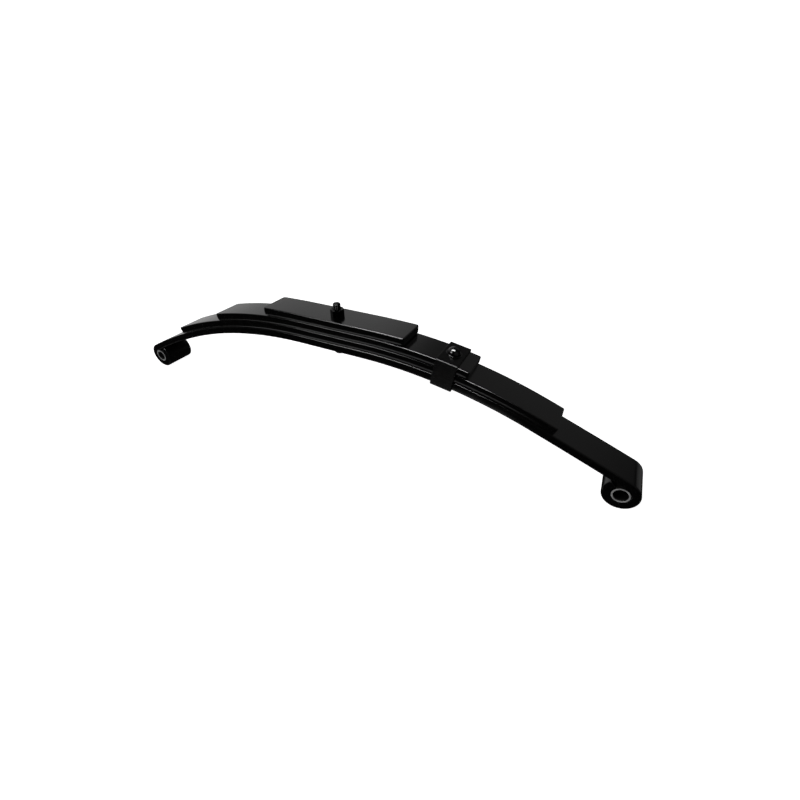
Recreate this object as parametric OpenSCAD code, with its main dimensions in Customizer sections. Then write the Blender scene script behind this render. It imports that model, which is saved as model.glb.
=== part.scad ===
// Four-leaf suspension spring, arched upward, with an eye rolled down at each end.
// Origin: centre-bolt axis at the underside of the main leaf. X runs along the spring,
// +X towards the arm with the rebound clip, Y along the eyes, Z up. Millimetres.

/* [Leaf stock] */
// Width of every leaf
leaf_w = 46; // [40:1:50]
// Thickness of every leaf
leaf_t = 10.4; // [8:0.1:11]
// Rounding of the rolled leaf edges
edge_r = 1.5; // [1:0.5:3]

/* [Leaf lengths, along the main leaf from the bolt] */
// Top leaf, each way
top_half = 103; // [85:1:120]
// Second leaf, plain arm
second_left = 198.5; // [150:0.5:230]
// Second leaf, arm with the clip
second_right = 184; // [180:1:230]
// Third leaf, plain arm
third_left = 298.5; // [270:0.5:310]
// Third leaf, arm with the clip
third_right = 295; // [270:0.5:310]

/* [Arch] */
// Flat half-length clamped on the axle seat
seat_half = 47; // [40:1:60]
// Bend radius of the plain arm, at the main leaf's mid-thickness
bend_left_r = 629; // [580:1:700]
// Bend radius of the arm with the clip
bend_right_r = 645; // [580:1:700]
// Angle of both bends
bend_deg = 20; // [18:0.5:22]
// Radius of the plain arm from the bend to its eye
tail_left_r = 950; // [800:50:2500]
// Radius of the clip arm from the bend to its eye
tail_right_r = 6000; // [800:50:6500]
// Length from the bend to the start of the eye on the plain arm
tail_left_len = 129; // [115:0.5:150]
// Length from the bend to the start of the eye on the clip arm
tail_right_len = 120.5; // [115:0.5:150]
// Bend radius of the nearly flat top leaf
top_bend_r = 1250; // [900:50:2000]
// Extra flat half-length of each leaf over the one below, which opens a hairline gap
seat_step = 0.5; // [0.3:0.1:1]

/* [Eyes and sleeves] */
// Outside diameter of the steel sleeves
sleeve_od = 20; // [18:0.5:22]
// Bore of the sleeves
sleeve_id = 16; // [14:0.5:16]
// How far a sleeve stands out of its eye on each side
sleeve_proud = 0.5; // [0:0.1:2]
// Radial clearance of a sleeve in its eye
sleeve_gap = 0.05; // [0.02:0.01:0.1]
// Angle that the rolled end wraps round its sleeve
eye_wrap = 297; // [285:1:298]

/* [Centre bolt and nut] */
// Bolt diameter
bolt_d = 10; // [8:0.5:10]
// Diameter of the round locating head
head_d = 16; // [14:0.5:18]
// Height of the locating head
head_h = 11.5; // [8:0.5:13]
// Nut size across its flats
nut_af = 16; // [15:0.1:17]
// Nut height
nut_h = 8.3; // [7:0.1:10]
// Thread that stands above the nut
thread_out = 7.9; // [3:0.1:10]

/* [Rebound clip and rivet] */
// Place of the clip along the spring
clip_at = 157.8; // [140:0.1:160]
// Width of the clip strap
clip_w = 27; // [20:1:30]
// Thickness of the clip strap
clip_t = 2.5; // [2:0.1:3]
// Gap between the clip and the sides of the leaves
clip_side_gap = 0.6; // [0.4:0.1:1]
// Length of each clip end that is folded under the main leaf
clip_tab = 14; // [10:1:18]
// Rivet head diameter
rivet_head_d = 20; // [14:0.5:21]
// Rivet head height
rivet_head_h = 8.5; // [5:0.5:9]
// Rivet shank diameter
rivet_d = 8; // [6:0.5:9]

/* [Hidden] */
$fn = 96;

LEFT = -1;
RIGHT = 1;
HOLE_PLAY = 0.2;        // radial play of the bolt and the rivet in the leaves
CHAMFER = 0.8;          // edge break on turned parts
CLIP_PLAY_TOP = 0.45;   // air between the strap and the curved second leaf
CLIP_PLAY_UNDER = 0.4;  // air between the folded ends and the main leaf
CLIP_INNER_R = 1.5;     // inside bend radius of the strap
RIVET_TAIL_UP = 0.3;    // the rivet ends this far short of the second leaf's underside
TAIL_INSET = 0.01;      // a tail is this much thinner all round than the bends it runs into
TAIL_LAP = 0.3;         // and starts and ends this far inside them

mid_z = leaf_t / 2;
sleeve_r = sleeve_od / 2;
eye_mid_r = sleeve_r + sleeve_gap + leaf_t / 2;
stack_h = 4 * leaf_t;

function to_deg(arc, r) = arc / r * 180 / PI;
function seat_of(level) = seat_half + level * seat_step;
function bend_r_of(side) = side == LEFT ? bend_left_r : bend_right_r;
function bend_len_of(side) = bend_r_of(side) * bend_deg * PI / 180;
function tail_r_of(side) = side == LEFT ? tail_left_r : tail_right_r;
function tail_len_of(side) = side == LEFT ? tail_left_len : tail_right_len;
// Length of an arm of the main leaf, from the bolt to the start of its eye
function full_of(side) = seat_half + bend_len_of(side) + tail_len_of(side);
// Centre of an arm's tail arc [x, z], measured along +X for either arm
function tail_centre(side, level) = let (step = bend_r_of(side) - tail_r_of(side)) [
    seat_of(level) + step * sin(bend_deg),
    mid_z - bend_r_of(side) + step * cos(bend_deg)];
function eye_start(side) = bend_deg + to_deg(tail_len_of(side), tail_r_of(side));
// Centre of an eye [x, z], with its true sign in x
function eye_centre(side) = let (a = eye_start(side), c = tail_centre(side, 0),
                                 r = tail_r_of(side) - eye_mid_r)
    [side * (c[0] + r * sin(a)), c[1] + r * cos(a)];

// Leaf section: x is the thickness, y the width
module bar_section(inset = 0) {
    r = edge_r - inset;
    square([leaf_t - 2 * edge_r, leaf_w - 2 * inset], center = true);
    square([leaf_t - 2 * inset, leaf_w - 2 * edge_r], center = true);
    for (x = [-1, 1], y = [-1, 1])
        translate([x * (leaf_t / 2 - edge_r), y * (leaf_w / 2 - edge_r)]) circle(r);
}

// Section swept about a Y axis through (cx, cz), from angle a0 to a1 off the vertical
module bend_run(cx, cz, r, a0, a1, inset = 0) {
    translate([cx, 0, cz]) rotate([90, 0, 0]) rotate([0, 0, 90 - a0])
        rotate_extrude(angle = a0 - a1) translate([r, 0]) bar_section(inset);
}

// Half of a leaf: flat seat, bend, then the start of the tail where the leaf is long enough
module arm(side, level, len, r) {
    lift = level * leaf_t;
    seat = seat_of(level);
    on_bend = min(len - seat_half, bend_len_of(side));
    on_tail = len - seat_half - bend_len_of(side);
    tail_r = tail_r_of(side);
    c = tail_centre(side, level);
    lap = to_deg(TAIL_LAP, tail_r);
    into_eye = level == 0 ? lap : 0;
    mirror([side == LEFT ? 1 : 0, 0, 0]) {
        translate([0, 0, mid_z + lift]) rotate([90, 0, 90])
            linear_extrude(seat) rotate(90) bar_section();
        bend_run(seat, mid_z - r, r + lift, 0, to_deg(on_bend, r));
        if (on_tail > 0)
            bend_run(c[0], c[1], tail_r + lift, bend_deg - lap,
                     bend_deg + to_deg(on_tail, tail_r) + into_eye, TAIL_INSET);
    }
}

module bolt_hole() {
    translate([0, 0, -1]) cylinder(h = stack_h + 2, r = bolt_d / 2 + HOLE_PLAY);
}

module leaf(level, left_len, right_len, left_r = bend_left_r, right_r = bend_right_r) {
    difference() {
        union() {
            arm(LEFT, level, left_len, left_r);
            arm(RIGHT, level, right_len, right_r);
        }
        bolt_hole();
    }
}

// Rolled end of the main leaf, curling down round the sleeve
module eye(side) {
    c = eye_centre(side);
    a = eye_start(side);
    mirror([side == LEFT ? 1 : 0, 0, 0]) bend_run(abs(c[0]), c[1], eye_mid_r, a, a + eye_wrap);
}

module main_leaf() {
    color("#15161a") union() {
        leaf(0, full_of(LEFT), full_of(RIGHT));
        eye(LEFT);
        eye(RIGHT);
    }
}

module third_leaf() {
    color("#17181c") leaf(1, third_left, third_right);
}

module second_leaf() {
    color("#191a1e") difference() {
        leaf(2, second_left, second_right);
        clip_frame() translate([0, 0, mid_z + leaf_t])
            cylinder(h = 2 * leaf_t, r = rivet_d / 2 + HOLE_PLAY);
    }
}

module top_leaf() {
    color("#1b1c20") leaf(3, top_half, top_half, top_bend_r, top_bend_r);
}

module center_bolt() {
    top = stack_h + nut_h + thread_out;
    color("#202126") rotate_extrude() polygon([
        [0, -head_h], [head_d / 2 - CHAMFER, -head_h], [head_d / 2, -head_h + CHAMFER],
        [head_d / 2, 0], [bolt_d / 2, 0], [bolt_d / 2, top - 2 * CHAMFER],
        [bolt_d / 2 - 2 * CHAMFER, top], [0, top]]);
}

module center_nut() {
    corner_r = nut_af / 2 / cos(30);
    color("#1c1d22") translate([0, 0, stack_h]) difference() {
        intersection() {
            rotate(30) cylinder(h = nut_h, r = corner_r, $fn = 6);
            cylinder(h = nut_h, r1 = nut_af / 2 + nut_h, r2 = nut_af / 2);
        }
        translate([0, 0, -1]) cylinder(h = nut_h + 2, d = bolt_d);
    }
}

module eye_sleeve(side) {
    c = eye_centre(side);
    half = leaf_w / 2 + sleeve_proud;
    break_in = CHAMFER / 2;
    r_in = sleeve_id / 2;
    color("silver") translate([c[0], 0, c[1]]) rotate([90, 0, 0]) rotate_extrude() polygon([
        [r_in, -half + break_in], [r_in + break_in, -half], [sleeve_r - break_in, -half],
        [sleeve_r, -half + break_in], [sleeve_r, half - break_in],
        [sleeve_r - break_in, half], [r_in + break_in, half], [r_in, half - break_in]]);
}

// Frame at the clip: origin at the main leaf's mid-thickness, Z square to the leaves
module clip_frame() {
    r = bend_right_r;
    a = to_deg(clip_at - seat_half, r);
    translate([seat_half + r * sin(a), 0, mid_z - r + r * cos(a)])
        rotate([0, a, 0]) children();
}

// Rectangle with round corners: x is the width, from z0 to z1 in y
module rounded_box(w, z0, z1, r) {
    translate([-w / 2, z0 + r]) square([w, z1 - z0 - 2 * r]);
    translate([-w / 2 + r, z0]) square([w - 2 * r, z1 - z0]);
    for (x = [-w / 2 + r, w / 2 - r], z = [z0 + r, z1 - r]) translate([x, z]) circle(r);
}

module rebound_clip() {
    inner_w = leaf_w + 2 * clip_side_gap;
    low = -leaf_t / 2 - CLIP_PLAY_UNDER;
    high = 2.5 * leaf_t + CLIP_PLAY_TOP;
    mouth = inner_w - 2 * clip_tab;
    color("#1a1b1f") clip_frame() difference() {
        rotate([90, 0, 90]) translate([0, 0, -clip_w / 2]) linear_extrude(clip_w) difference() {
            rounded_box(inner_w + 2 * clip_t, low - clip_t, high + clip_t, CLIP_INNER_R + clip_t);
            rounded_box(inner_w, low, high, CLIP_INNER_R);
            translate([-mouth / 2, low - 2 * clip_t]) square([mouth, 3 * clip_t]);
        }
        translate([0, 0, leaf_t]) cylinder(h = 4 * leaf_t, r = rivet_d / 2 + HOLE_PLAY);
    }
}

module clip_rivet() {
    seat = 2.5 * leaf_t + CLIP_PLAY_TOP + clip_t;
    head_r = rivet_head_d / 2;
    ball_r = (head_r * head_r + rivet_head_h * rivet_head_h) / (2 * rivet_head_h);
    color("#202126") clip_frame() {
        translate([0, 0, 1.5 * leaf_t + RIVET_TAIL_UP])
            cylinder(h = seat - 1.5 * leaf_t, r = rivet_d / 2);
        intersection() {
            translate([0, 0, seat + rivet_head_h - ball_r]) sphere(ball_r);
            translate([0, 0, seat]) cylinder(h = rivet_head_h + 1, r = head_r);
        }
    }
}

main_leaf();
third_leaf();
second_leaf();
top_leaf();
center_bolt();
center_nut();
eye_sleeve(LEFT);  // left_eye_sleeve
eye_sleeve(RIGHT);  // right_eye_sleeve
rebound_clip();
clip_rivet();
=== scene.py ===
"""Four-leaf suspension spring in gloss black, on a pale floor. Metres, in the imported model's frame."""
import math

import bmesh
import bpy
from mathutils import Matrix, Vector, noise

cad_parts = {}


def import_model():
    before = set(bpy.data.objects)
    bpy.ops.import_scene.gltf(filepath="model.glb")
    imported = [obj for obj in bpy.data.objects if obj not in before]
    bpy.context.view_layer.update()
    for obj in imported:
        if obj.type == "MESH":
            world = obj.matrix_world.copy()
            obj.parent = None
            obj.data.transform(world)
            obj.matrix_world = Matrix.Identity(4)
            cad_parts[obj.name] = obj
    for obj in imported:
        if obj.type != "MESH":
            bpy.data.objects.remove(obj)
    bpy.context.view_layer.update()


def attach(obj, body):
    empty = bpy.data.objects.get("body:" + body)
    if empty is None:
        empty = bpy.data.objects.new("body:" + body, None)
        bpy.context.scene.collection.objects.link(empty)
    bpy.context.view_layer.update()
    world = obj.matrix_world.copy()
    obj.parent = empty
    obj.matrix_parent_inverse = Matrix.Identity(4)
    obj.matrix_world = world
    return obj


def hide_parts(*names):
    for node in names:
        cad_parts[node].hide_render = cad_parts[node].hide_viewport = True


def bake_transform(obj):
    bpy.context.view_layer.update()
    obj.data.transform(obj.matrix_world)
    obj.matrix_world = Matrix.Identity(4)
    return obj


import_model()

MM = 0.001
LEFT, RIGHT = -1, 1

# The design in millimetres, as the CAD has it
LEAF_W, LEAF_T = 46.0, 10.4
EDGE_R = 1.5            # rounding of a leaf's long edges
SIDE_BULGE = (0.08, 0.55, 0.55, 0.55)   # the sides are this much fuller at mid-height, by level
END_R = 0.9             # rounding of the sheared leaf ends
PLAN_R = {LEFT: 3.5, RIGHT: 2.5}    # their corners, seen from above
SEAT, SEAT_STEP = 47.0, 0.5
BEND_R = {LEFT: 629.0, RIGHT: 645.0}
BEND = math.radians(20)
TAIL_R = {LEFT: 950.0, RIGHT: 6000.0}
TAIL_LEN = {LEFT: 129.0, RIGHT: 120.5}
TOP_BEND_R, TOP_HALF = 1250.0, 103.0
SECOND = {LEFT: 198.5, RIGHT: 184.0}
THIRD = {LEFT: 298.5, RIGHT: 295.0}
SLEEVE_R, BORE_R, SLEEVE_GAP, SLEEVE_HALF = 10.0, 8.0, 0.05, 23.5
EYE_MID_R = SLEEVE_R + SLEEVE_GAP + LEAF_T / 2
EYE_WRAP = math.radians(297)
STACK = 4 * LEAF_T
BOLT_R, HEAD_R, HEAD_H = 5.0, 8.0, 11.5
NUT_AF, NUT_H, THREAD_OUT = 16.0, 8.3, 7.9
PITCH, THREAD_DEPTH = 1.5, 0.8
CLIP_AT, CLIP_W, CLIP_T, CLIP_SIDE, CLIP_TAB = 157.8, 27.0, 2.5, 0.6, 14.0
CLIP_OVER, CLIP_UNDER, CLIP_INNER_R = 0.45, 0.4, 1.5
RIVET_R, RIVET_H = 9.1, 8.5


# ------------------------------------------------------------------ mesh helpers

LONG_WAVE, LONG_SHARE = (34, 19, 11), 0.7      # wavelengths in mm along X, Y and Z, and their weight
SHORT_WAVE, SHORT_SHARE, SHORT_SHIFT = (9, 8, 9), 0.3, 7
SHARP_FROM = math.radians(50)


def ripple(p, lengths, shift=0):
    """Smooth noise at a point in millimetres."""
    return noise.noise(Vector((p.x / lengths[0] + shift, p.y / lengths[1], p.z / lengths[2])))


def make_piece(name, rings, bands=None, wave=0.0):
    """Closed mesh through rings of points in millimetres, a little uneven by wave.

    bands gives the material of each face along a ring.
    """
    mesh = bpy.data.meshes.new(name)
    bm = bmesh.new()
    rows = [[bm.verts.new(Vector(p) * MM) for p in ring] for ring in rings]
    n = len(rings[0])
    for lower, upper in zip(rows, rows[1:]):
        for k in range(n):
            j = (k + 1) % n
            face = bm.faces.new((lower[k], lower[j], upper[j], upper[k]))
            face.material_index = bands[k] if bands else 0
    for row in (rows[0], rows[-1]):
        bm.faces.new(row)
    bmesh.ops.recalc_face_normals(bm, faces=bm.faces)
    if wave:
        bm.normal_update()
        for v in bm.verts:
            p = v.co / MM
            level = ripple(p, LONG_WAVE) * LONG_SHARE
            level += ripple(p, SHORT_WAVE, SHORT_SHIFT) * SHORT_SHARE
            v.co += v.normal * (level - 1) * wave * MM
    bm.to_mesh(mesh)
    bm.free()
    return finish_piece(name, mesh)


def finish_piece(name, mesh):
    """Object from a mesh, smooth shaded, with its rest place kept for the procedural materials."""
    for poly in mesh.polygons:
        poly.use_smooth = True
    mesh.set_sharp_from_angle(angle=SHARP_FROM)
    rest = mesh.attributes.new("rest_co", "FLOAT_VECTOR", "POINT")
    flat = [c for v in mesh.vertices for c in v.co]
    rest.data.foreach_set("vector", flat)
    obj = bpy.data.objects.new(name, mesh)
    bpy.context.scene.collection.objects.link(obj)
    weighted = obj.modifiers.new("weighted", "WEIGHTED_NORMAL")
    weighted.keep_sharp = True
    return obj


def spin(profile, segments, place):
    """Rings for a turned shape: profile is (r, h) from one end to the other, place maps (x, y, h)."""
    angles = [2 * math.pi * k / segments for k in range(segments)]
    return [[place(r * math.cos(a), r * math.sin(a), h) for a in angles] for r, h in profile]


def rounded(points, r, steps=4):
    """An (r, h) profile with the corners between its ends rounded by r."""
    most = 0.45                     # of a side, so that two roundings never meet
    out = [points[0]]
    for a, b, c in zip(points, points[1:], points[2:]):
        va, vb, vc = Vector(a), Vector(b), Vector(c)
        d0, d1 = (va - vb), (vc - vb)
        cut = min(r, d0.length * most, d1.length * most)
        p0, p1 = vb + d0.normalized() * cut, vb + d1.normalized() * cut
        for k in range(steps + 1):
            t = k / steps
            q = p0 * (1 - t) ** 2 + vb * 2 * t * (1 - t) + p1 * t * t
            out.append((q.x, q.y))
    out.append(points[-1])
    return out


# ------------------------------------------------------------------ leaf geometry

def centre_line(side, level, u, bend_r=None):
    """Place (x, z) and slope angle of a leaf's mid-surface at arc length u along the main leaf."""
    lift = level * LEAF_T
    seat = SEAT + level * SEAT_STEP
    r = bend_r or BEND_R[side]
    z0 = LEAF_T / 2
    if u <= SEAT:
        return side * u * seat / SEAT, z0 + lift, 0.0
    if bend_r or u <= SEAT + BEND * r:
        a = (u - SEAT) / r
        return side * (seat + (r + lift) * math.sin(a)), z0 - r + (r + lift) * math.cos(a), a
    tail = TAIL_R[side]
    a = BEND + (u - SEAT - BEND * r) / tail
    cx = seat + (r - tail) * math.sin(BEND)
    cz = z0 - r + (r - tail) * math.cos(BEND)
    return side * (cx + (tail + lift) * math.sin(a)), cz + (tail + lift) * math.cos(a), a


def full_length(side):
    """Length of an arm of the main leaf, from the bolt to the start of its eye."""
    return SEAT + BEND * BEND_R[side] + TAIL_LEN[side]


def eye_of(side):
    """Centre (x, z) of an eye, and the slope angle where its roll starts."""
    x, z, a = centre_line(side, 0, full_length(side))
    return x - side * EYE_MID_R * math.sin(a), z - EYE_MID_R * math.cos(a), a


CORNER, ACROSS, UP = 6, 8, 8       # faces round an edge, across a leaf and up its side
END_STEPS = 4                       # faces over the rounding of a cut end
CAP_INSET = 0.5                     # the flat of a cut end starts this much further in
SIDE_IN = 0.6                       # how much the sides come in over that rounding, per mm
SEAT_STEP_LEN, ARM_STEP_LEN, TIP_STEP_LEN = 8, 4, 0.6      # ring spacing in mm
EYE_STEP = math.radians(4.5)


def section(level, inset=0.0, narrow=0.0):
    """Closed outline (y, h) of a leaf: flat faces, rounded edges and slightly full sides."""
    hh = LEAF_T / 2 - inset
    r = max(EDGE_R - inset * 0.7, 0.3)
    high = hh - r
    lean = math.atan(2 * SIDE_BULGE[level] / hh)
    reach = high + r * math.sin(lean)
    bulge = reach * math.tan(lean) / 2
    flat = LEAF_W / 2 - inset - narrow - bulge - r * math.cos(lean)
    pts = []

    def corner(sy, sh, a0, a1):
        for k in range(CORNER + 1):
            a = a0 + (a1 - a0) * k / CORNER
            pts.append((sy * flat + r * math.cos(a), sh * high + r * math.sin(a)))

    def side(sy, sh):
        for k in range(1, UP):
            t = sh * (1 - 2 * k / UP)
            pts.append((sy * (flat + r * math.cos(lean) + bulge * (1 - t * t)), reach * t))

    half = math.pi / 2
    corner(1, 1, lean, half)
    pts.extend((flat - 2 * flat * k / ACROSS, hh) for k in range(1, ACROSS))
    corner(-1, 1, half, math.pi - lean)
    side(-1, 1)
    corner(-1, -1, math.pi + lean, 3 * half)
    pts.extend((-flat + 2 * flat * k / ACROSS, -hh) for k in range(1, ACROSS))
    corner(1, -1, 3 * half, 4 * half - lean)
    side(1, -1)
    return pts


def section_bands():
    """Material of each face round the section: 1 on the rounded edges, 0 on the flats and sides."""
    one = [1] * CORNER + [0] * ACROSS + [1] * CORNER + [0] * UP
    return one * 2


def ring_at(x, z, a, side, outline):
    """The outline set square to the leaf at (x, z), where it slopes by a."""
    return [(x + side * math.sin(a) * h, y, z + math.cos(a) * h) for y, h in outline]


def steps_between(a, b, size):
    """Even steps from a to b, none longer than size."""
    n = max(1, math.ceil((b - a) / size))
    return [a + (b - a) * k / n for k in range(n + 1)]


def arm_rings(side, level, length, bend_r=None, cut_end=True):
    """Rings of half a leaf, from the bolt outward, with the sheared end's edges rounded."""
    stop = length - END_R if cut_end else length
    plan = PLAN_R[side]
    us = steps_between(0, SEAT, SEAT_STEP_LEN)[:-1]
    us += steps_between(SEAT, length - plan if cut_end else length, ARM_STEP_LEN)
    if cut_end:
        us += steps_between(length - plan, stop, TIP_STEP_LEN)[1:]

    def narrow(u):
        """How much the plan radius takes off each side."""
        past = max(0.0, u - (length - plan)) if cut_end else 0.0
        return plan - math.sqrt(max(0.0, plan * plan - past * past))

    def ring(u, outline):
        return ring_at(*centre_line(side, level, u, bend_r), side, outline)

    rings = [ring(u, section(level, 0, narrow(u))) for u in us]
    if cut_end:
        base = narrow(stop)
        for k in range(1, END_STEPS + 1):
            t = math.radians(90 * k / END_STEPS)
            u = stop + END_R * math.sin(t)
            rings.append(ring(u, section(level, END_R * (1 - math.cos(t)), base + (u - stop) * SIDE_IN)))
        rings.append(ring(length, section(level, END_R + CAP_INSET, base + END_R * SIDE_IN)))
    return rings


def eye_rings(side):
    """Rings of the rolled end, on from the arm's last ring."""
    cx, cz, start = eye_of(side)
    end = start + EYE_WRAP
    cut = END_R / EYE_MID_R

    def ring(a, outline):
        x = cx + side * EYE_MID_R * math.sin(a)
        z = cz + EYE_MID_R * math.cos(a)
        return ring_at(x, z, a, side, outline)

    rings = [ring(a, section(0)) for a in steps_between(start, end - cut, EYE_STEP)[1:]]
    for k in range(1, END_STEPS + 1):
        t = math.radians(90 * k / END_STEPS)
        rings.append(ring(end - cut + cut * math.sin(t), section(0, END_R * (1 - math.cos(t)))))
    rings.append(ring(end, section(0, END_R + CAP_INSET)))
    return rings


def flex(obj):
    """Bakes the piece's placement into its mesh."""
    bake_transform(obj)


# ------------------------------------------------------------------ materials

def node_material(name):
    """New material, with the place at rest that its textures follow."""
    mat = bpy.data.materials.new(name)
    mat.use_nodes = True
    nodes, links = mat.node_tree.nodes, mat.node_tree.links
    bsdf = nodes["Principled BSDF"]
    rest = nodes.new("ShaderNodeAttribute")
    rest.attribute_name = "rest_co"
    return mat, nodes, links, bsdf, rest.outputs["Vector"]


def noise_node(nodes, links, vector, scale, detail, rough, stretch=None):
    if stretch:
        m = nodes.new("ShaderNodeMapping")
        m.inputs["Scale"].default_value = stretch
        links.new(vector, m.inputs["Vector"])
        vector = m.outputs["Vector"]
    t = nodes.new("ShaderNodeTexNoise")
    t.inputs["Scale"].default_value = scale
    t.inputs["Detail"].default_value = detail
    t.inputs["Roughness"].default_value = rough
    links.new(vector, t.inputs["Vector"])
    return t.outputs["Fac"]


def ramp(nodes, links, value, stops):
    r = nodes.new("ShaderNodeValToRGB")
    while len(r.color_ramp.elements) < len(stops):
        r.color_ramp.elements.new(0.5)
    for e, (pos, c) in zip(r.color_ramp.elements, stops):
        e.position = pos
        e.color = (*c, 1) if isinstance(c, tuple) else (c, c, c, 1)
    links.new(value, r.inputs["Fac"])
    return r.outputs["Color"]


NOISE_LOW, NOISE_HIGH = 0.3, 0.7    # most of a noise texture's values lie between these


def spread(nodes, links, value, low, high):
    """A noise value spread over the range from low to high."""
    m = nodes.new("ShaderNodeMapRange")
    m.inputs["From Min"].default_value = NOISE_LOW
    m.inputs["From Max"].default_value = NOISE_HIGH
    m.inputs["To Min"].default_value = low
    m.inputs["To Max"].default_value = high
    links.new(value, m.inputs["Value"])
    return m.outputs["Result"]


def bump(nodes, links, height, distance, strength, under=None):
    b = nodes.new("ShaderNodeBump")
    b.inputs["Distance"].default_value = distance
    b.inputs["Strength"].default_value = strength
    links.new(height, b.inputs["Height"])
    if under:
        links.new(under, b.inputs["Normal"])
    return b.outputs["Normal"]


def black_paint(name, specular, rough_low, rough_high, base):
    """Gloss black paint over rolled steel: fine orange peel, slow waviness and a trace of dust."""
    mat, nodes, links, bsdf, rest = node_material(name)
    cloud = noise_node(nodes, links, rest, 38, 4, 0.6)
    fine = noise_node(nodes, links, rest, 900, 2, 0.5)
    streak = noise_node(nodes, links, rest, 60, 5, 0.65, stretch=(1.0, 6.0, 6.0))
    dark, light = base
    links.new(ramp(nodes, links, cloud, [(0.32, dark), (0.7, light)]), bsdf.inputs["Base Color"])
    links.new(spread(nodes, links, streak, rough_low, rough_high), bsdf.inputs["Roughness"])
    peel = bump(nodes, links, fine, 0.00006, 0.35)
    links.new(bump(nodes, links, streak, 0.00012, 0.25, peel), bsdf.inputs["Normal"])
    bsdf.inputs["Specular IOR Level"].default_value = specular
    bsdf.inputs["IOR"].default_value = 1.5
    return mat


def bare_steel(name, dark, light, metallic, rough_low, rough_high):
    """Turned steel: fine rings round the axis, small stains."""
    mat, nodes, links, bsdf, rest = node_material(name)
    cloud = noise_node(nodes, links, rest, 220, 4, 0.6)
    ringed = noise_node(nodes, links, rest, 900, 3, 0.6, stretch=(0.15, 3.0, 0.15))
    links.new(ramp(nodes, links, cloud, [(0.3, dark), (0.7, light)]), bsdf.inputs["Base Color"])
    links.new(spread(nodes, links, ringed, rough_low, rough_high), bsdf.inputs["Roughness"])
    links.new(bump(nodes, links, ringed, 0.00008, 0.5), bsdf.inputs["Normal"])
    bsdf.inputs["Metallic"].default_value = metallic
    return mat


PAINT = black_paint("gloss_black_leaf", 0.50, 0.10, 0.17, (0.0003, 0.0008))
PAINT_EDGE = black_paint("gloss_black_leaf_edge", 0.50, 0.14, 0.22, (0.0003, 0.0009))
PAINT_CLIP = black_paint("gloss_black_strap", 0.15, 0.18, 0.28, (0.0020, 0.0055))
PAINT_BOLT = black_paint("gloss_black_hardware", 0.13, 0.14, 0.24, (0.0003, 0.0008))
STEEL = bare_steel("turned_steel_face", (0.16, 0.16, 0.165), (0.29, 0.29, 0.285), 0.2, 0.38, 0.55)
# Near-black steel for the sleeve's bore, its outer barrel and the rims of its faces, far darker than the
# turned faces
STEEL_BORE = bare_steel("near_black_steel_bore", (0.003, 0.003, 0.003), (0.008, 0.008, 0.007), 0.3, 0.35, 0.5)


def dress(obj, slot_name, *materials):
    for m in materials:
        obj.data.materials.append(m)


# ------------------------------------------------------------------ leaves

WAVE = 0.05
BANDS = section_bands()

for side, word in ((LEFT, "left"), (RIGHT, "right")):
    rings = arm_rings(side, 0, full_length(side), cut_end=False) + eye_rings(side)
    half = make_piece("main_leaf_" + word, rings, bands=BANDS, wave=WAVE)
    dress(half, "black_paint", PAINT, PAINT_EDGE)
    flex(half)
    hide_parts("main_leaf")

for level, lengths, node in ((1, THIRD, "third_leaf"), (2, SECOND, "second_leaf")):
    for side, word in ((LEFT, "left"), (RIGHT, "right")):
        half = make_piece(node + "_" + word, arm_rings(side, level, lengths[side]), bands=BANDS, wave=WAVE)
        dress(half, "black_paint", PAINT, PAINT_EDGE)
        flex(half)
        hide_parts(node)

left_rings = arm_rings(LEFT, 3, TOP_HALF, TOP_BEND_R)
right_rings = arm_rings(RIGHT, 3, TOP_HALF, TOP_BEND_R)
top = make_piece("top_leaf_plate", left_rings[::-1][:-1] + right_rings, bands=BANDS, wave=WAVE)
dress(top, "black_paint", PAINT, PAINT_EDGE)
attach(top, "leaf_pack")
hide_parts("top_leaf")


# ------------------------------------------------------------------ centre bolt and nut

CROWN, END_CHAMFER = 0.7, 0.9       # domed end of the bolt and the bevel under it
CHAMFER_SLOPE = 0.8                 # radius lost per mm of that bevel
CREST_INSET = 0.05                  # the thread's crests stay this far inside the bolt's radius there
CREST_SHARE = 0.25                  # flat part of a crest
RUN_IN_FROM, RUN_IN = 3, 1.5        # the thread deepens over RUN_IN, from this far under the nut
BOLT_SEGMENTS, RINGS_PER_TURN, CROWN_RINGS = 84, 12, 8
HEAD_BEVEL, SHANK_INSET = 1.1, 0.1


def thread_radius(angle, z, top):
    """Radius of the 60 degree thread at an angle and height, running out at its ends."""
    phase = (z / PITCH - angle / (2 * math.pi)) % 1.0
    groove = max(0.0, abs(phase - 0.5) * 2 * (1 + CREST_SHARE) - CREST_SHARE)
    lead_in = min(1.0, max(0.0, (z - STACK + RUN_IN_FROM) / RUN_IN))
    r = BOLT_R - THREAD_DEPTH * groove * lead_in
    chamfer = BOLT_R - CREST_INSET - max(0.0, z - (top - CROWN - END_CHAMFER)) * CHAMFER_SLOPE
    return min(r, chamfer)


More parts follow.
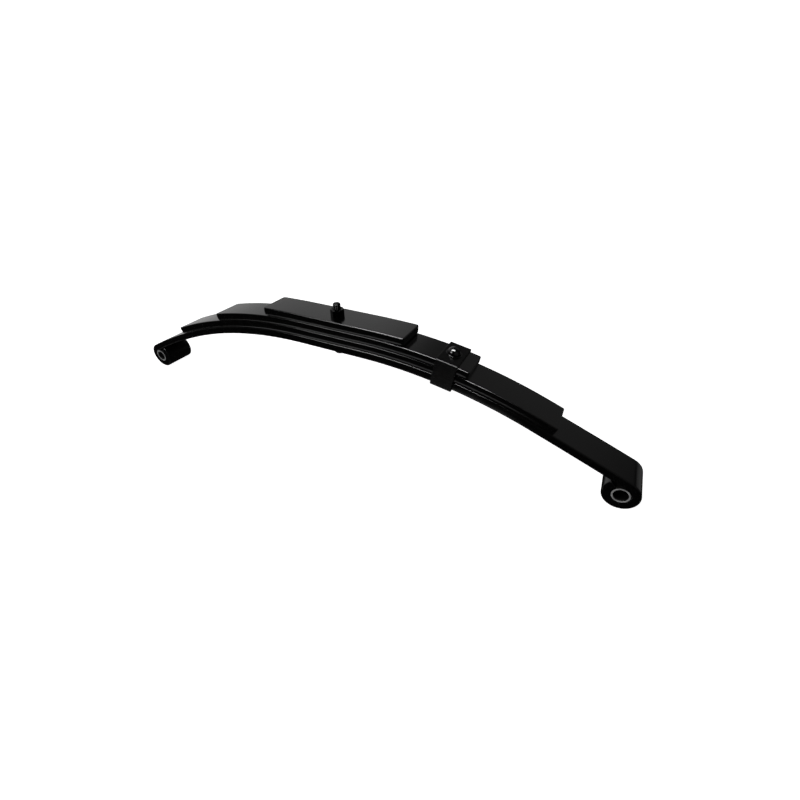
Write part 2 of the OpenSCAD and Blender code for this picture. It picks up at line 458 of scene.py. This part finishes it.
def bolt_rings():
    """The round head and the plain shank, then the thread and the domed end."""
    shank_r, shank_top, thread_from = BOLT_R - SHANK_INSET, STACK - 4, STACK - 3.5
    low = rounded([(0.4, -HEAD_H), (HEAD_R - HEAD_BEVEL, -HEAD_H), (HEAD_R, -HEAD_H + HEAD_BEVEL),
                   (HEAD_R, 0), (shank_r, 0), (shank_r, shank_top)], 0.5)
    rings = spin(low, BOLT_SEGMENTS, lambda x, y, h: (x, y, h))
    angles = [2 * math.pi * k / BOLT_SEGMENTS for k in range(BOLT_SEGMENTS)]
    top = STACK + NUT_H + THREAD_OUT
    z = thread_from
    while z < top - CROWN:
        ring = []
        for a in angles:
            r = thread_radius(a, z, top)
            ring.append((r * math.cos(a), r * math.sin(a), z))
        rings.append(ring)
        z += PITCH / RINGS_PER_TURN
    crown_r = BOLT_R - CREST_INSET - END_CHAMFER * CHAMFER_SLOPE
    for k in range(1, CROWN_RINGS):
        t = k / CROWN_RINGS * math.pi / 2
        r = max(crown_r * math.cos(t) ** 0.8, 0.3)
        z = top - CROWN + CROWN * math.sin(t)
        rings.append([(r * math.cos(a), r * math.sin(a), z) for a in angles])
    return rings


bolt = make_piece("center_bolt_turned", bolt_rings())
dress(bolt, "black_hardware", PAINT_BOLT)
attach(bolt, "leaf_pack")
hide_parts("center_bolt")


def nut_rings():
    """Rings from the bore's foot, over the outside and back down the bore."""
    per_side, r_bore = 14, BOLT_R + 0.06
    apothem = NUT_AF / 2
    soft = 0.21                        # taken off each of the six corners
    bevel = 0.55                       # rise of the chamfer cone per mm of radius
    r_top = apothem + 0.15             # circle that the cone leaves on the nut's ends
    z0, z1 = STACK, STACK + NUT_H
    angles = []
    for face in range(6):
        for k in range(per_side):
            # closer together near the corners, so that the edge is tight
            t = k / per_side
            t = 0.5 - 0.5 * math.cos(math.pi * t)
            angles.append(math.radians(60 * face + 60 * t - 30))

    def hex_r(a):
        """Radius of the hexagon at an angle."""
        local = (a + math.pi / 6) % (math.pi / 3) - math.pi / 6
        return min(apothem / math.cos(local), apothem / math.cos(math.pi / 6) - soft)

    def ring(radius, height):
        out = []
        for a in angles:
            r, z = radius(a), height(a)
            out.append((r * math.cos(a), r * math.sin(a), z))
        return out

    def drop(a):
        """How far the chamfer cone has come down at the hexagon's side."""
        return max(0.0, hex_r(a) - r_top) * bevel

    # the small numbers round each edge, in millimetres
    rows = [ring(lambda a: r_bore, lambda a: z0),
            ring(lambda a: r_top - 0.6, lambda a: z0),
            ring(lambda a: r_top, lambda a: z0),
            ring(hex_r, lambda a: z0 + drop(a) * 0.6 + 0.12)]
    for t in (0.15, 0.5, 0.85):
        rows.append(ring(hex_r, lambda a, t=t: z0 + 0.5 + (z1 - z0 - 0.9 - drop(a)) * t))
    rows += [ring(hex_r, lambda a: z1 - drop(a) - 0.18),
             ring(lambda a: hex_r(a) - 0.10, lambda a: z1 - drop(a) - 0.03),
             ring(lambda a: r_top + 0.08, lambda a: z1 - 0.05),
             ring(lambda a: r_top - 0.12, lambda a: z1),
             ring(lambda a: r_bore + 1.1, lambda a: z1),
             ring(lambda a: r_bore + 0.9, lambda a: z1 - 0.08),
             ring(lambda a: r_bore, lambda a: z1 - 0.9),
             ring(lambda a: r_bore, lambda a: z0)]
    return rows


def ring_solid(name, rows):
    """A ring-shaped mesh: the last row of points is the first again."""
    mesh = bpy.data.meshes.new(name)
    bm = bmesh.new()
    made = [[bm.verts.new(Vector(p) * MM) for p in row] for row in rows[:-1]]
    n = len(rows[0])
    for lower, upper in zip(made, made[1:] + made[:1]):
        for k in range(n):
            j = (k + 1) % n
            bm.faces.new((lower[k], lower[j], upper[j], upper[k]))
    bmesh.ops.recalc_face_normals(bm, faces=bm.faces)
    bm.to_mesh(mesh)
    bm.free()
    return finish_piece(name, mesh)


nut = ring_solid("center_nut_hex", nut_rings())
dress(nut, "black_hardware", PAINT_BOLT)
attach(nut, "leaf_pack")
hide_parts("center_nut")


# ------------------------------------------------------------------ eye sleeves

SLEEVE_SEGMENTS = 112
FACE_RIM = 0.2                      # the rims of a face, in mm, are as dark as the bore


def sleeve(word, side):
    """Steel tube with rounded rims, bright on its faces and dark in its bore."""
    cx, cz, _ = eye_of(side)
    half, cut, soft = SLEEVE_HALF, 0.45, 0.12
    outer = [(SLEEVE_R, -half + cut), (SLEEVE_R, -half / 2), (SLEEVE_R, 0), (SLEEVE_R, half / 2),
             (SLEEVE_R, half - cut)]
    profile = ([(BORE_R + cut, -half), (SLEEVE_R - cut, -half), (SLEEVE_R - soft, -half + soft)] + outer
               + [(SLEEVE_R - soft, half - soft), (SLEEVE_R - cut, half), (BORE_R + cut, half),
                  (BORE_R + 0.1, half - 0.2), (BORE_R, half - cut - 0.1), (BORE_R, half / 2),
                  (BORE_R, 0), (BORE_R, -half / 2), (BORE_R, -half + cut + 0.1),
                  (BORE_R + 0.1, -half + 0.2), (BORE_R + cut, -half)])
    rings = spin(profile, SLEEVE_SEGMENTS, lambda x, y, h: (cx + x, h, cz + y))
    obj = ring_solid(word + "_sleeve_tube", rings)
    for poly in obj.data.polygons:
        away = math.hypot(poly.center.x / MM - cx, poly.center.z / MM - cz)
        poly.material_index = 0 if BORE_R + FACE_RIM < away < SLEEVE_R - FACE_RIM else 1
    dress(obj, "bare_steel", STEEL, STEEL_BORE)
    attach(obj, word + "_sleeve")
    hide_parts(word + "_eye_sleeve")


sleeve("left", LEFT)
sleeve("right", RIGHT)


# ------------------------------------------------------------------ rebound clip and rivet

CLIP_X, CLIP_Z, CLIP_A = centre_line(RIGHT, 0, CLIP_AT)
CLIP_FRAME = Matrix.Translation((CLIP_X, 0, CLIP_Z)) @ Matrix.Rotation(CLIP_A, 4, "Y")
STRAP_STEP, TURN_STEPS = 3.0, 8     # ring spacing in mm on the straights, and rings in each bend
STRAP_EDGE_R, STRAP_END_R = 0.55, 0.5
RIVET_SEGMENTS, DOME_RINGS = 72, 15
RIVET_SHANK_R, SHANK_SHOWN = 3.9, 3
COLLAR_OUT, COLLAR_H = 0.85, 0.7    # how far the rivet's collar stands past its dome, and its height


def in_clip(x, y, z):
    """A point of the clip's own frame, in the spring's frame."""
    return tuple(CLIP_FRAME @ Vector((x, y, z)))


def strap_path():
    """Points (y, z) and outward normals along the strap's mid-line, from one folded end to the other."""
    half = LEAF_W / 2 + CLIP_SIDE + CLIP_T / 2
    low = -LEAF_T / 2 - CLIP_UNDER - CLIP_T / 2
    high = 2.5 * LEAF_T + CLIP_OVER + CLIP_T / 2
    r = CLIP_INNER_R + CLIP_T / 2
    tab = half - CLIP_TAB - CLIP_T / 2
    path = []

    def line(a, b, normal):
        n = max(1, math.ceil(math.dist(a, b) / STRAP_STEP))
        for k in range(n):
            t = k / n
            path.append(((a[0] + (b[0] - a[0]) * t, a[1] + (b[1] - a[1]) * t), normal))

    def turn(cy, cz, a0, a1):
        for k in range(TURN_STEPS):
            a = math.radians(a0 + (a1 - a0) * k / TURN_STEPS)
            path.append(((cy + r * math.cos(a), cz + r * math.sin(a)), (math.cos(a), math.sin(a))))

    line((-tab, low), (-half + r, low), (0, -1))
    turn(-half + r, low + r, 270, 180)
    line((-half, low + r), (-half, high - r), (-1, 0))
    turn(-half + r, high - r, 180, 90)
    line((-half + r, high), (half - r, high), (0, 1))
    turn(half - r, high - r, 90, 0)
    line((half, high - r), (half, low + r), (1, 0))
    turn(half - r, low + r, 0, -90)
    line((half - r, low), (tab, low), (0, -1))
    path.append(((tab, low), (0, -1)))
    return path


def strap_section(inset=0.0):
    """Outline (x, h) of the strap: its width and its thickness, with softened edges."""
    hw, ht = CLIP_W / 2 - inset, CLIP_T / 2 - inset
    r = max(0.15, STRAP_EDGE_R - inset * 0.6)
    pts = []
    for sx, sh, start in ((1, 1, 0), (-1, 1, 90), (-1, -1, 180), (1, -1, 270)):
        for k in range(5):
            a = math.radians(start + 90 * k / 4)
            pts.append((sx * (hw - r) + r * math.cos(a), sh * (ht - r) + r * math.sin(a)))
        if sh > 0 and sx > 0 or sh < 0 and sx < 0:
            step = -1 if sh > 0 else 1
            pts.extend((step * (-(hw - r) + 2 * (hw - r) * k / 6), sh * ht) for k in range(1, 6))
    return pts


def strap_rings():
    """Rings along the strap, with both folded ends rounded over."""
    path = strap_path()

    def put(point, normal, outline):
        (y, z), (ny, nz) = point, normal
        return [in_clip(x, y + ny * h, z + nz * h) for x, h in outline]

    # place along the path from its end, and inset of the section there
    over = [(0.0, STRAP_END_R)]
    for k in (1, 2, 3):
        t = math.radians(90 * k / 4)
        over.append((STRAP_END_R - STRAP_END_R * math.cos(t), STRAP_END_R - STRAP_END_R * math.sin(t)))
    (y0, z0), normal0 = path[0]
    (y1, z1), normal1 = path[-1]
    rings = [put((y0 - along, z0), normal0, strap_section(inset)) for along, inset in over]
    rings += [put(point, normal, strap_section()) for point, normal in path[1:-1]]
    rings += [put((y1 + along, z1), normal1, strap_section(inset))
              for along, inset in over[:0:-1] + over[:1]]
    return rings


clip = make_piece("rebound_clip_strap", strap_rings(), wave=0.06)
dress(clip, "black_paint", PAINT_CLIP)
flex(clip)
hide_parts("rebound_clip")


def rivet_rings():
    """Shank, low collar and domed head, from the foot up."""
    seat = 2.5 * LEAF_T + CLIP_OVER + CLIP_T
    ball = (RIVET_R ** 2 + RIVET_H ** 2) / (2 * RIVET_H)
    collar_r, collar_top = RIVET_R + COLLAR_OUT, seat + COLLAR_H
    profile = [(RIVET_SHANK_R, seat - SHANK_SHOWN), (RIVET_SHANK_R, seat), (collar_r - 0.15, seat),
               (collar_r, seat + 0.15), (collar_r, collar_top - 0.25), (collar_r - 0.25, collar_top),
               (RIVET_R - 0.35, collar_top + 0.05)]
    for k in range(1, DOME_RINGS):
        r = (RIVET_R - 0.5) * math.cos(math.pi / 2 * k / DOME_RINGS)
        profile.append((r, seat + RIVET_H - ball + math.sqrt(ball ** 2 - r ** 2)))
    profile.append((0.35, seat + RIVET_H))
    return spin(profile, RIVET_SEGMENTS, in_clip)


rivet = make_piece("clip_rivet_head", rivet_rings(), wave=0.10)
dress(rivet, "black_hardware", PAINT)
flex(rivet)
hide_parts("clip_rivet")


# ------------------------------------------------------------------ floor, light and camera

FLOOR_R, FLOOR_GLOW, FLOOR_DROP = 30, 1.05, 0.0001      # the floor lies just under the eyes
BACKDROP_R, BACKDROP_GLOW = 39, 1.2                     # near enough for every camera's far limit
AMBIENT = 0.012
PANELS = [                          # azimuth, elevation, strength, cosines of the faded rim, half band
    (150, 12, 0.43, 0.643, 0.857, 0),
    (160, -8, 0.03, 0.80, 0.98, 0),
    (75, 40, 0.14, 0.83, 0.99, 0),
    (-126, -40, 0.90, 0.924, 0.966, 0.055),
    (-35, 22, 0.12, 0.75, 0.95, 0),
    (49, -6, 0.14, 0.93, 0.99, 0)]
CAMERA_ANGLES = (26.84812, 34.83503, -0.12280)          # yaw, pitch and roll in degrees
CAMERA_TARGET, CAMERA_AWAY, LENS = (90.527, 0, -64.901), 0.567926, 18.7686


def flat_material(name, colour, glow):
    """Matt white that also glows a little, as a lit table or backdrop does."""
    mat = bpy.data.materials.new(name)
    mat.use_nodes = True
    bsdf = mat.node_tree.nodes["Principled BSDF"]
    bsdf.inputs["Base Color"].default_value = (colour, colour, colour, 1)
    bsdf.inputs["Roughness"].default_value = 1.0
    bsdf.inputs["Specular IOR Level"].default_value = 0.0
    bsdf.inputs["Emission Color"].default_value = (1, 1, 1, 1)
    bsdf.inputs["Emission Strength"].default_value = glow
    return mat


def stage_object(name, build, material):
    """Studio object, which is no part of the spring."""
    mesh = bpy.data.meshes.new(name)
    bm = bmesh.new()
    build(bm)
    bm.to_mesh(mesh)
    bm.free()
    obj = bpy.data.objects.new(name, mesh)
    bpy.context.scene.collection.objects.link(obj)
    mesh.materials.append(material)
    return obj


def floor():
    """Pale floor that touches the foot of both eyes. Gloss mirrors the dark studio, not the floor."""
    (xl, zl, _), (xr, zr, _) = eye_of(LEFT), eye_of(RIGHT)
    foot = EYE_MID_R + LEAF_T / 2
    a = Vector((xl, 0, zl - foot)) * MM
    b = Vector((xr, 0, zr - foot)) * MM
    obj = stage_object(
        "floor",
        lambda bm: bmesh.ops.create_circle(bm, cap_ends=True, segments=96, radius=FLOOR_R),
        flat_material("pale_floor", 0.80, FLOOR_GLOW))
    slope = math.atan2(b.z - a.z, b.x - a.x)
    place = (a + b) / 2 - Vector((0, 0, FLOOR_DROP))
    obj.matrix_world = Matrix.Translation(place) @ Matrix.Rotation(-slope, 4, "Y")
    obj.visible_glossy = False


def backdrop():
    """White surround, seen only directly, so that it neither lights nor mirrors."""
    obj = stage_object(
        "backdrop",
        lambda bm: bmesh.ops.create_uvsphere(bm, u_segments=48, v_segments=24, radius=BACKDROP_R),
        flat_material("white_backdrop", 0.0, BACKDROP_GLOW))
    obj.visible_glossy = obj.visible_diffuse = False
    obj.visible_transmission = obj.visible_shadow = False


def direction(az, el):
    """Unit vector from azimuth and elevation in degrees."""
    a, e = math.radians(az), math.radians(el)
    return Vector((math.cos(a) * math.cos(e), math.sin(a) * math.cos(e), math.sin(e)))


def in_band(nodes, links, glow, height, middle, half):
    """The glow only within a band of heights, faded at its edges."""
    off = nodes.new("ShaderNodeMath")
    off.operation = "SUBTRACT"
    off.inputs[1].default_value = middle
    links.new(height, off.inputs[0])
    size = nodes.new("ShaderNodeMath")
    size.operation = "ABSOLUTE"
    links.new(off.outputs["Value"], size.inputs[0])
    keep = nodes.new("ShaderNodeMapRange")
    keep.interpolation_type = "SMOOTHSTEP"
    keep.inputs["From Min"].default_value = half * 0.5
    keep.inputs["From Max"].default_value = half
    keep.inputs["To Min"].default_value = 1
    keep.inputs["To Max"].default_value = 0
    links.new(size.outputs["Value"], keep.inputs["Value"])
    out = nodes.new("ShaderNodeMath")
    out.operation = "MULTIPLY"
    links.new(glow, out.inputs[0])
    links.new(keep.outputs["Result"], out.inputs[1])
    return out.outputs["Value"]


def world():
    """Dark studio with soft panels. One with a half band is kept to a narrow belt of heights."""
    w = bpy.data.worlds.new("studio")
    w.use_nodes = True
    nodes, links = w.node_tree.nodes, w.node_tree.links
    back = nodes["Background"]
    coord = nodes.new("ShaderNodeTexCoord")
    split = nodes.new("ShaderNodeSeparateXYZ")
    links.new(coord.outputs["Generated"], split.inputs["Vector"])
    total = None
    for az, el, strength, start, stop, band in PANELS:
        dot = nodes.new("ShaderNodeVectorMath")
        dot.operation = "DOT_PRODUCT"
        links.new(coord.outputs["Generated"], dot.inputs[0])
        dot.inputs[1].default_value = direction(az, el)
        fade = nodes.new("ShaderNodeMapRange")
        fade.interpolation_type = "SMOOTHSTEP"
        fade.inputs["From Min"].default_value = start
        fade.inputs["From Max"].default_value = stop
        fade.inputs["To Max"].default_value = strength
        links.new(dot.outputs["Value"], fade.inputs["Value"])
        glow = fade.outputs["Result"]
        if band:
            glow = in_band(nodes, links, glow, split.outputs["Z"], math.sin(math.radians(el)), band)
        add = nodes.new("ShaderNodeMath")
        add.operation = "ADD"
        links.new(glow, add.inputs[0])
        if total is None:
            add.inputs[1].default_value = AMBIENT
        else:
            links.new(total, add.inputs[1])
        total = add.outputs["Value"]
    links.new(total, back.inputs["Strength"])
    back.inputs["Color"].default_value = (1, 1, 1, 1)
    bpy.context.scene.world = w


def softbox(name, place, width, height, power):
    """Area light at a place in metres, level along X and tilted towards the spring."""
    light = bpy.data.lights.new(name, "AREA")
    light.shape = "RECTANGLE"
    light.size, light.size_y = width, height
    light.energy = power
    obj = bpy.data.objects.new(name, light)
    obj.location = place
    obj.rotation_euler = Vector((0, place[1], place[2])).to_track_quat("Z", "Y").to_euler()
    bpy.context.scene.collection.objects.link(obj)
    return obj


def camera():
    """Camera at the reference view, with a wide lens close to the spring."""
    yaw, pitch, roll = (math.radians(d) for d in CAMERA_ANGLES)
    target = Vector(CAMERA_TARGET) * MM
    back = Vector((math.sin(yaw) * math.cos(pitch), -math.cos(yaw) * math.cos(pitch), math.sin(pitch)))
    right = (-back).cross(Vector((0, 0, 1))).normalized()
    up = right.cross(-back)
    r2 = right * math.cos(roll) + up * math.sin(roll)
    u2 = up * math.cos(roll) - right * math.sin(roll)
    cam = bpy.data.cameras.new("view")
    cam.sensor_width = 36
    cam.lens = LENS
    cam.clip_start, cam.clip_end = 0.01, 100
    obj = bpy.data.objects.new("view", cam)
    place = target + back * CAMERA_AWAY
    obj.matrix_world = Matrix(((r2.x, u2.x, back.x, place.x), (r2.y, u2.y, back.y, place.y),
                               (r2.z, u2.z, back.z, place.z), (0, 0, 0, 1)))
    bpy.context.scene.collection.objects.link(obj)
    bpy.context.scene.camera = obj


floor()
backdrop()
world()
softbox("key", (-0.73, -1.0, 1.0), 0.8, 0.5, 10)
softbox("overhead", (-0.18, -0.28, 1.57), 1.44, 0.5, 60).visible_diffuse = False
camera()
bpy.context.scene.view_settings.view_transform = "Standard"
